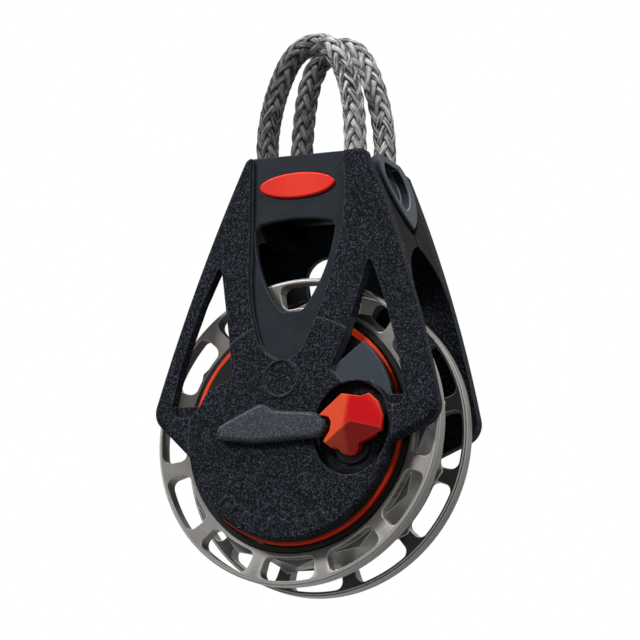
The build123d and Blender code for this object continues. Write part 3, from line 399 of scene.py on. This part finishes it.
def softened(name, width):
    """A copy of a solid with its sharp edges rounded by a width in mm, in the solid's place."""
    solid = node_objects[name]
    piece = bpy.data.objects.new(name + "_finished", solid.data.copy())
    bpy.context.scene.collection.objects.link(piece)
    only(piece)
    bpy.ops.mesh.customdata_custom_splitnormals_clear()
    bpy.ops.object.mode_set(mode="EDIT")
    bpy.ops.mesh.select_all(action="SELECT")
    bpy.ops.mesh.remove_doubles(threshold=SAME_POINT)
    bpy.ops.mesh.dissolve_limited(angle_limit=FLAT_UP_TO)
    bpy.ops.object.mode_set(mode="OBJECT")
    bpy.ops.object.shade_smooth_by_angle(angle=SMOOTH_UP_TO)
    edges = piece.modifiers.new("edges", "BEVEL")
    edges.width = width * MM
    edges.segments = ROUNDING_SEGMENTS
    edges.limit_method = "ANGLE"
    edges.angle_limit = ROUND_FROM
    edges.use_clamp_overlap = False
    piece.data.materials.clear()
    for _ in range(2):
        piece.data.materials.append(None)
    for polygon in piece.data.polygons:
        polygon.material_index = 0
    edges.material = 1
    bpy.ops.object.modifier_apply(modifier=edges.name)
    sharp_skin = BVHTree.FromPolygons(
        [vertex.co for vertex in solid.data.vertices],
        [tuple(polygon.vertices) for polygon in solid.data.polygons],
    )
    for vertex in piece.data.vertices:
        nearest, _, _, away = sharp_skin.find_nearest(vertex.co)
        if away > STRAYED * width * MM:
            vertex.co = nearest
    # The rounding's faces are marked for a painted highlight in the finishes.
    highlight_edge = piece.data.attributes.new("edge", "FLOAT", "FACE")
    for polygon, item in zip(piece.data.polygons, highlight_edge.data):
        item.value = float(polygon.material_index)
        polygon.material_index = 0
    bpy.ops.object.shade_smooth_by_angle(angle=SMOOTH_AT_LAST)
    flats = piece.modifiers.new("flats", "WEIGHTED_NORMAL")
    flats.keep_sharp = True
    bpy.ops.object.modifier_apply(modifier=flats.name)
    only()
    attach(piece, body_of_node[name])
    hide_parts(name)
    print(name, "rounded by", width, "mm,", len(piece.data.polygons), "faces")
    return piece


for name, width in EDGE_ROUNDING.items():
    node_objects[name] = softened(name, width)

# %% [markdown]
# ## Writing shader maths as expressions
# A material's maths is easier to read as a formula than as a web of nodes. The small
# class below wraps one socket, so that `grain * 0.5 + 0.2` adds the two Math nodes it
# needs. Every other kind of node comes from one method of the web that it stands in, and
# a finish is a web with a Principled shader at its end.

# %% A class for sockets, one for webs of nodes and one for finishes
class Field:
    """A value that varies over a surface, and that arithmetic turns into Math nodes."""

    def __init__(self, web, socket):
        self.web = web
        self.socket = socket

    def math(self, operation, *values):
        return self.web.node("ShaderNodeMath", {"operation": operation}, dict(enumerate(values)))

    def __add__(self, other):
        return self.math("ADD", self, other)

    def __radd__(self, other):
        return self.math("ADD", other, self)

    def __sub__(self, other):
        return self.math("SUBTRACT", self, other)

    def __rsub__(self, other):
        return self.math("SUBTRACT", other, self)

    def __mul__(self, other):
        return self.math("MULTIPLY", self, other)

    def __pow__(self, other):
        return self.math("POWER", self, other)

    def __abs__(self):
        return self.math("ABSOLUTE", self)

    def __lt__(self, other):
        return self.math("LESS_THAN", self, other)


class Web:
    """A node tree that nodes are added to."""

    def __init__(self, tree):
        self.tree = tree

    def node(self, kind, settings=None, sockets=None, output=0):
        """Add a node: its settings first, then the values or links of its sockets."""
        node = self.tree.nodes.new(kind)
        for setting, value in (settings or {}).items():
            setattr(node, setting, value)
        for socket, value in (sockets or {}).items():
            if isinstance(value, Field):
                self.tree.links.new(value.socket, node.inputs[socket])
            else:
                node.inputs[socket].default_value = value
        return Field(self, node.outputs[output])

    def seen(self):
        """1 for the camera, for reflections and through clear things, 0 for light that falls."""
        camera_ray, glossy_ray, clear_ray = (
            self.node("ShaderNodeLightPath", output=ray)
            for ray in ("Is Camera Ray", "Is Glossy Ray", "Is Transmission Ray")
        )
        bounced = glossy_ray.math("MAXIMUM", glossy_ray, clear_ray)
        return camera_ray.math("MAXIMUM", camera_ray, bounced)


class Finish(Web):
    """A material with one Principled shader, whose plain numbers sit on its own sockets."""

    def __init__(self, name, **plain):
        self.material = bpy.data.materials.new(name)
        self.material.use_nodes = True
        super().__init__(self.material.node_tree)
        self.shader = next(n for n in self.tree.nodes if n.type == "BSDF_PRINCIPLED")
        for socket, value in plain.items():
            self.shader.inputs[socket.replace("_", " ")].default_value = value

    def feed(self, socket, field):
        """Link a field to a socket of the Principled shader."""
        self.tree.links.new(field.socket, self.shader.inputs[socket])

    def blend(self, factor, first, second):
        """Mix two colours, each a colour or a field; the numbers pick a Mix node's sockets."""
        return self.node(
            "ShaderNodeMix", {"data_type": "RGBA"}, {0: factor, 6: first, 7: second}, output=2
        )

    def place(self):
        """Object coordinates, in metres."""
        return self.node("ShaderNodeTexCoord", output=3)

    def axis(self, vector, name):
        """One coordinate of a vector, by its letter."""
        return self.node("ShaderNodeSeparateXYZ", {}, {0: vector}, output="XYZ".index(name))

    def noise(self, vector, scale, detail, roughness):
        return self.node("ShaderNodeTexNoise", {}, {
            "Vector": vector, "Scale": scale, "Detail": detail, "Roughness": roughness,
        })

    def step(self, field, low, high):
        """0 up to low, 1 from high on and smooth between; low may be the larger of the two."""
        return self.node("ShaderNodeMapRange", {"interpolation_type": "SMOOTHSTEP"}, {
            "Value": field, "From Min": low, "From Max": high, "To Min": 0.0, "To Max": 1.0,
        })

    def kept(self, name):
        """The number that a mesh keeps under this name, or 0 where it keeps none."""
        return self.node("ShaderNodeAttribute", {"attribute_name": name}, output=2)

    def edge(self):
        """1 on the rounding of an edge and 0 elsewhere."""
        return self.kept("edge")

    def bump(self, height, distance, strength):
        """Raise the surface in shading by a field; the distance is in metres."""
        self.feed("Normal", self.node("ShaderNodeBump", {}, {
            "Height": height, "Distance": distance, "Strength": strength,
        }))

    def onto(self, *pieces):
        """Give the finish to pieces, in place of whatever they had."""
        for piece in pieces:
            piece.data.materials.clear()
            piece.data.materials.append(self.material)


def colour(red, green, blue):
    """Colour from 0 to 255 steps as they show on a screen, turned to light by the sRGB rule."""
    def light(step):
        share = step / 255
        return share / 12.92 if share <= 0.04045 else ((share + 0.055) / 1.055) ** 2.4
    return (light(red), light(green), light(blue), 1.0)


# %% [markdown]
# ## Grained nylon of the cheeks
# The cheeks are black glass-filled nylon. Nearly all of their skin comes from a
# spark-eroded mould and breaks the light into fine bluish specks. The sunken channel down
# the middle and the domed web beside the knob are smooth and a touch paler. The inner
# sides and the deep part of the recess by the knob are painted near black as painted shade,
# and the rounded edges get a painted highlight. Boxes in the cheek's own coordinates tell
# these apart. Each pair of numbers below says, in metres, where a mask starts and where it
# is full.

# %% Cheek finish
RECESS_X, RECESS_Z = 0.012, -0.0007
DOME_X, DOME_Z = 0.011, 0.0117
CHANNEL_SIDES = (0.0108, 0.0104)
CHANNEL_FOOT = (0.0118, 0.0124)
DOME_SIDES = (0.008, 0.0076)
DOME_ENDS = (0.0078, 0.0074)
CLEAR_OF_RECESS = (0.0084, 0.0088)
IN_RECESS = (0.0087, 0.0084)
BELOW_FACE = (0.0097, 0.00945)
INNER_SIDES = (0.0072, 0.0064)


def cheek_finish():
    finish = Finish("grained_nylon", IOR=1.5, Specular_IOR_Level=0.06)
    here = finish.place()
    across, through, tall = (finish.axis(here, letter) for letter in "XYZ")
    height = abs(through)
    from_recess = ((across - RECESS_X) ** 2 + (tall - RECESS_Z) ** 2) ** 0.5
    sunken = finish.step(height, *BELOW_FACE)
    channel = finish.step(abs(across), *CHANNEL_SIDES) * finish.step(tall, *CHANNEL_FOOT)
    dome = finish.step(abs(across - DOME_X), *DOME_SIDES)
    dome = dome * finish.step(abs(tall - DOME_Z), *DOME_ENDS)
    dome = dome * finish.step(from_recess, *CLEAR_OF_RECESS) * (through < 0.0)
    smooth = sunken * channel.math("MAXIMUM", channel, dome)
    # painted shade: the inner sides and the deep part of the recess by the knob are painted near
    # black
    inside = finish.step(height, *INNER_SIDES)
    recess_shade = finish.step(from_recess, *IN_RECESS) * sunken * 0.6
    inside = inside.math("MAXIMUM", inside, recess_shade * (through < 0.0))
    coarse = finish.noise(here, 3300.0, 2.0, 0.6)
    fine = finish.noise(here, 6200.0, 1.0, 0.5)
    soft = finish.noise(here, 260.0, 3.0, 0.55)
    grain = coarse * 0.65 + fine * 0.35
    specks = finish.step(grain, 0.49, 0.62) * (0.45 + soft * 0.9)
    smooth_skin = finish.blend(soft, colour(22, 27, 32), colour(44, 50, 57))
    smooth_skin = finish.blend(dome * 0.5 + specks * 0.16, smooth_skin, colour(78, 86, 95))
    grain_skin = finish.blend(specks, colour(2, 2, 4), colour(68, 75, 88))
    # painted highlight: the rounded edges are painted paler
    edge_highlight = finish.edge() * (0.2 + specks * 0.4)
    skin = finish.blend(edge_highlight, finish.blend(smooth, grain_skin, smooth_skin), colour(92, 99, 110))
    finish.feed("Base Color", finish.blend(inside, skin, colour(3, 3, 4)))
    finish.feed("Roughness", 0.6 + soft * 0.1 - smooth * 0.14)
    finish.bump(grain * (1.0 - smooth) + soft * 0.06, 0.00014, 0.8)
    return finish


cheek_finish().onto(node_objects["front_cheek"], node_objects["rear_cheek"])

# %% [markdown]
# ## Smooth mouldings
# The post, the guard, the hub and the cages with their balls are plain satin mouldings.
# What keeps them from looking like computer plastic is very little: faint flow clouds, and
# a roughness that wanders. The guard also shows its pores as pale flecks. The post is
# painted black where it runs through the head, as painted shade between the cheeks, and
# the rounded edges of the post and the guard get a painted highlight.

# %% Smooth mouldings
MOULDED_RELIEF = 0.00003
POST_SIDES = (0.0112, 0.0106)
POST_TOP = (0.0482, 0.0474)


def moulded(name, dark, light, roughness, cloud=320.0, fleck=0.0):
    """A satin moulding with clouds of a given fineness and a share of pale pores."""
    finish = Finish(name, IOR=1.5, Specular_IOR_Level=0.14)
    here = finish.place()
    clouds = finish.noise(here, cloud, 4.0, 0.55)
    pores = finish.noise(here, 3600.0, 2.0, 0.5)
    skin = finish.blend(clouds, dark, light)
    skin = finish.blend(finish.step(pores, 0.45, 0.68) * fleck, skin, colour(138, 146, 156))
    # painted highlight: the rounded edges are painted paler
    finish.feed("Base Color", finish.blend(finish.edge() * 0.35, skin, colour(150, 156, 164)))
    finish.feed("Roughness", roughness - 0.06 + clouds * 0.12 + pores * 0.04)
    finish.bump(clouds * 0.4 + pores * 0.6, MOULDED_RELIEF, 0.6)
    return finish


def post_finish():
    """The same moulding, painted black where the post runs through the head between the cheeks, as
    painted shade.
    """
    finish = Finish("post_nylon", IOR=1.5, Specular_IOR_Level=0.08)
    here = finish.place()
    across, tall = (finish.axis(here, letter) for letter in "XZ")
    clouds = finish.noise(here, 300.0, 4.0, 0.55)
    # painted shade: the post is painted black between the cheeks
    shade_in_head = finish.step(abs(across), *POST_SIDES) * finish.step(tall, *POST_TOP)
    skin = finish.blend(clouds, colour(40, 46, 53), colour(60, 67, 76))
    # painted highlight: the rounded edges are painted paler
    skin = finish.blend(finish.edge() * 0.32, skin, colour(172, 178, 186))
    finish.feed("Base Color", finish.blend(shade_in_head, skin, colour(3, 3, 4)))
    finish.feed("Roughness", 0.36 + clouds * 0.14)
    finish.bump(clouds, MOULDED_RELIEF, 0.6)
    return finish


post_finish().onto(node_objects["head_post"])
moulded("satin_grey_nylon", colour(32, 37, 43), colour(48, 54, 62), 0.42, fleck=0.3).onto(
    node_objects["switch_guard"]
)
moulded("black_acetal", colour(6, 6, 8), colour(13, 13, 16), 0.36).onto(*[
    node_objects[name] for name in (
        "hub_drum", "front_race_cover", "rear_race_cover", "front_outer_race",
        "rear_outer_race", "selector_bush",
    )
])
moulded("natural_cage", colour(182, 178, 165), colour(204, 200, 188), 0.5).onto(
    node_objects["front_ball_cage"], node_objects["rear_ball_cage"]
)
moulded("white_balls", colour(215, 214, 208), colour(232, 231, 226), 0.25, 900.0).onto(
    node_objects["front_balls"], node_objects["rear_balls"]
)

# %% [markdown]
# ## Red acetal
# The badge, the knob and the race rings are an orange red with a satin gloss. One function
# paints a red that turns from one colour to another, and each piece says where on it that
# happens. On the knob and the race rings that turn is painted light, and every red piece
# gets a painted highlight on its rounded edges.

# %% Red acetal
ACETAL = {"IOR": 1.48, "Specular_IOR_Level": 0.2}
BADGE_ENDS = (0.001, 0.007)
RACE_RIM = (0.005, 0.009)
KNOB_CORNER = (0.0186, 0.0228)
KNOB_FLANK = (0.0116, 0.0128)


def red_skin(finish, first, second, turn):
    """A red that goes from its first colour to its second with a field, with a painted highlight
    on edges.
    """
    here = finish.place()
    clouds = finish.noise(here, 210.0, 3.0, 0.5)
    pores = finish.noise(here, 3600.0, 2.0, 0.5)
    skin = finish.blend(turn * (0.85 + clouds * 0.3), first, second)
    # painted highlight: the rounded edges are painted paler
    finish.feed("Base Color", finish.blend(finish.edge() * 0.5, skin, colour(246, 96, 60)))
    finish.feed("Roughness", 0.3 + clouds * 0.1 + pores * 0.04)
    finish.bump(clouds * 0.5 + pores * 0.5, 0.00002, 0.5)


def badge_finish():
    """Warm in the middle and deep towards the two ends."""
    finish = Finish("red_badge", **ACETAL)
    turn = finish.step(abs(finish.axis(finish.place(), "X")), *BADGE_ENDS)
    red_skin(finish, colour(238, 46, 22), colour(226, 32, 16), turn)
    return finish


def race_finish():
    """Painted light: bright red, paler still towards the outer end, which shows as a ring round
    the cheek's disc in shade.
    """
    finish = Finish("red_race", **ACETAL)
    # painted light: the ring is painted bright and paler towards its outer end
    turn = finish.step(abs(finish.axis(finish.place(), "Y")), *RACE_RIM)
    red_skin(finish, colour(250, 52, 22), colour(255, 78, 36), turn)
    return finish


def knob_finish():
    """Painted light and shade: warm where light falls, on the flank beside the guard and at the
    far upper corner, deep red between.
    """
    finish = Finish("red_knob", **ACETAL)
    here = finish.place()
    across, tall = finish.axis(here, "X"), finish.axis(here, "Z")
    # painted light and shade: the lit flank and corner are painted orange, the rest deep red
    corner = finish.step(across + tall, *KNOB_CORNER)
    turn = finish.step(across - tall * 0.15, *KNOB_FLANK) * (1.0 - corner * 0.6)
    red_skin(finish, colour(242, 84, 48), colour(204, 8, 18), turn)
    return finish


badge_finish().onto(node_objects["badge"])
race_finish().onto(node_objects["front_inner_race"], node_objects["rear_inner_race"])
knob_finish().onto(node_objects["selector_knob"])

# %% [markdown]
# ## Metals
# The sheave is turned from aluminium and hard anodised to a warm grey: the turning
# leaves very fine rings round its axle, which the anodising dulls. The rings are a noise
# of the distance from the axle and of the place along it. On the groove side the flanges
# are painted dark and the tread half as dark, as painted shade between the flanges: an
# attribute marks those faces by the direction they look in and by where they lie. The
# rounded edges get a painted highlight. The small steel parts are bare metal and smoother.

# %% Metals
TREAD_R = 0.0246
TREAD_HALF = 0.0052
LOOKS_INWARD = 0.3
SHADE_ON_SIDES, SHADE_ON_TREAD = 0.9, 0.45


def turned_metal(name, dark, light, roughness, rings, metal=1.0):
    """A turned metal with rings of a given fineness round the axle."""
    finish = Finish(name, Metallic=metal, Specular_IOR_Level=0.3)
    here = finish.place()
    across, through, tall = (finish.axis(here, letter) for letter in "XYZ")
    from_axle = (across * across + tall * tall) ** 0.5
    on_lathe = finish.node("ShaderNodeCombineXYZ", {}, {0: from_axle, 1: through})
    turning = finish.noise(on_lathe, rings, 2.0, 0.6)
    mottle = finish.noise(here, 520.0, 4.0, 0.6)
    skin = finish.blend(mottle * 0.6 + turning * 0.4, dark, light)
    # painted shade: the groove-side faces are painted dark
    skin = finish.blend(finish.kept("groove_shade"), skin, colour(34, 33, 33))
    # painted highlight: the rounded edges are painted paler
    finish.feed("Base Color", finish.blend(finish.edge() * 0.75, skin, colour(206, 203, 198)))
    finish.feed("Roughness", roughness - 0.08 + turning * 0.1 + mottle * 0.08)
    finish.bump(turning * 0.7 + mottle * 0.3, 0.00002, 0.5)
    return finish


# The groove-side faces are marked for painted shade between the flanges.
sheave_mesh = node_objects["sheave"].data
groove_shade = sheave_mesh.attributes.new("groove_shade", "FLOAT", "FACE")
for polygon, item in zip(sheave_mesh.polygons, groove_shade.data):
    towards_middle = -polygon.normal.y if polygon.center.y > 0 else polygon.normal.y
    from_axle = math.hypot(polygon.center.x, polygon.center.z)
    if towards_middle > LOOKS_INWARD:
        item.value = SHADE_ON_SIDES
    elif from_axle < TREAD_R and abs(polygon.center.y) < TREAD_HALF:
        item.value = SHADE_ON_TREAD

turned_metal(
    "anodised_alloy", colour(118, 116, 112), colour(158, 155, 151), 0.38, 2600.0, metal=0.12
).onto(node_objects["sheave"])
turned_metal("stainless_steel", colour(118, 118, 121), colour(160, 160, 163), 0.3, 1800.0).onto(*[
    node_objects[name] for name in (
        "ratchet_ring", "hub_bolt", "hub_insert", "hub_screws", "head_screws", "pawl_pins",
        "selector_crank", "shift_ring", "pawl_a", "pawl_b",
    )
])
turned_metal("spring_steel", colour(140, 140, 146), colour(176, 176, 182), 0.28, 2200.0).onto(
    node_objects["pawl_springs"]
)

# %% [markdown]
# ## Rope fibre
# The braid is grey high-modulus fibre. Each strand is a flat bundle of hair-thin
# filaments: streaks along the strand, some pale and some nearly black, that the UV map
# stretches out. Painted light and shade make them palest along the crown of a strand and
# sink them to black where it dives under its neighbour. One side of the loop is painted
# paler than the other, as painted light from one side. The two turns inside the head get
# far darker colours, as painted shade.

# %% Rope finish
FIBRE_STRETCH = (34.0, 0.9, 1.0)
BUNDLE_STRETCH = (9.0, 0.5, 1.0)
LIT_SIDE_HALF = 0.006


def rope_finish(name, sheen, dark, shaded, lit_pale):
    """Braid whose pale fibres go from a shaded colour to a lit one across the block, as painted
    light.
    """
    finish = Finish(name, IOR=1.5, Specular_IOR_Level=sheen)
    uv = finish.node("ShaderNodeUVMap", {"uv_map": "strand"})
    along_fibres, along_bundles = (
        finish.node("ShaderNodeVectorMath", {"operation": "MULTIPLY"}, {0: uv, 1: stretch})
        for stretch in (FIBRE_STRETCH, BUNDLE_STRETCH)
    )
    fibres = finish.noise(along_fibres, 1.0, 3.0, 0.7)
    bundles = finish.noise(along_bundles, 1.0, 2.0, 0.5)
    here = finish.place()
    patches = finish.noise(here, 420.0, 3.0, 0.6)
    # painted light and shade: the crown of each strand is painted pale and its edges black
    crown_light = finish.axis(uv, "X") * (2 * math.pi)
    crown_light = finish.step(crown_light.math("SINE", crown_light), 0.25, 0.95)
    level = fibres * 0.45 + bundles * 0.55 + patches * 0.25 + finish.kept("strand_tint") * 0.08
    streaks = finish.step(level, 0.53, 0.78) * (0.08 + crown_light * 0.92)
    # painted light: the side of the loop towards +X is painted paler
    across = finish.axis(here, "X") + (patches - 0.5) * LIT_SIDE_HALF
    pale = finish.blend(finish.step(across, -LIT_SIDE_HALF, LIT_SIDE_HALF), shaded, lit_pale)
    finish.feed("Base Color", finish.blend(streaks, dark, pale))
    finish.feed("Roughness", 0.5 + fibres * 0.2)
    finish.bump(fibres * 0.7 + bundles * 0.3, 0.00012, 0.9)
    return finish


rope_finish(
    "grey_braid", 0.15, colour(4, 3, 6), colour(132, 129, 131), colour(222, 218, 218)
).onto(braids["link_front_braid"], braids["link_rear_braid"])
# painted shade: the two turns inside the head get far darker colours
rope_finish(
    "grey_braid_shaded_inside", 0.02, colour(3, 3, 4), colour(14, 13, 15), colour(16, 15, 17)
).onto(braids["link_left_braid"], braids["link_right_braid"])

# %% [markdown]
# ## Floor and backdrop light
# The block hangs well above a plain floor, which glows pale for the camera and in
# reflections only. It throws little light back up, and that leaves the undersides of the
# block dark. The world does the same: it is a very dim studio for the block's own surfaces
# but shows white to the camera and in reflections, so the picture keeps a white ground
# without flooding the black plastic with light.

# %% Floor
FLOOR_Z = -0.6
FLOOR_SIZE = 6.0
only()
bpy.ops.mesh.primitive_plane_add(size=FLOOR_SIZE, location=(0, 0, FLOOR_Z))
floor = bpy.context.active_object
floor.name = "studio_floor"
bpy.ops.object.transform_apply(location=True)
bpy.ops.object.mode_set(mode="EDIT")
bpy.ops.mesh.subdivide(number_cuts=3)
bpy.ops.object.mode_set(mode="OBJECT")


def floor_finish():
    finish = Finish("pale_floor", Roughness=0.8, Emission_Strength=1.0)
    clouds = finish.noise(finish.place(), 3.0, 2.0, 0.5)
    finish.feed("Base Color", finish.blend(clouds, colour(176, 176, 176), colour(188, 188, 188)))
    glow = finish.blend(finish.seen(), colour(0, 0, 0), colour(222, 222, 222))
    finish.feed("Emission Color", glow)
    return finish


floor_finish().onto(floor)
only()

# %% World
DIM_SKY, WHITE_SKY = 0.02, 1.0
world = bpy.data.worlds.new("studio")
bpy.context.scene.world = world
world.use_nodes = True
world.node_tree.nodes.clear()
sky = Web(world.node_tree)
dim, plain = (
    sky.node("ShaderNodeBackground", {}, {"Color": (1.0, 1.0, 1.0, 1.0), "Strength": strength})
    for strength in (DIM_SKY, WHITE_SKY)
)
choice = sky.node("ShaderNodeMixShader", {}, {0: sky.seen(), 1: dim, 2: plain})
world_end = sky.tree.nodes.new("ShaderNodeOutputWorld")
sky.tree.links.new(choice.socket, world_end.inputs["Surface"])

# %% [markdown]
# ## Lamps
# A soft key stands high in front, on the left, and draws the upper edges of the cheeks and
# the knob. A second lamp on the right lights the rope's legs and the lens on the right
# flank, and a strip overhead falls on the flange and the top of the head.

# %% Lamps
LIT_POINT = Vector((0.0, 0.0, 0.02))


def lamp(name, where, power, wide, tall):
    """A soft rectangular lamp that looks at the middle of the block."""
    light = bpy.data.lights.new(name, "AREA")
    light.shape = "RECTANGLE"
    light.size = wide
    light.size_y = tall
    light.energy = power
    holder = bpy.data.objects.new(name, light)
    bpy.context.scene.collection.objects.link(holder)
    direction = LIT_POINT - Vector(where)
    holder.rotation_euler = direction.to_track_quat("-Z", "Y").to_euler()
    holder.location = where


lamp("key", (-0.52, -0.6, 0.62), 9.0, 0.2, 0.2)
lamp("side", (0.5, -0.3, 0.8), 6.2, 0.18, 0.18)
lamp("top", (0.0, 0.08, 0.95), 4.0, 0.3, 0.2)

# %% [markdown]
# The view transform is the plain one, so a colour renders about as it is written.

# %% Finish
bpy.context.scene.view_settings.view_transform = "Standard"
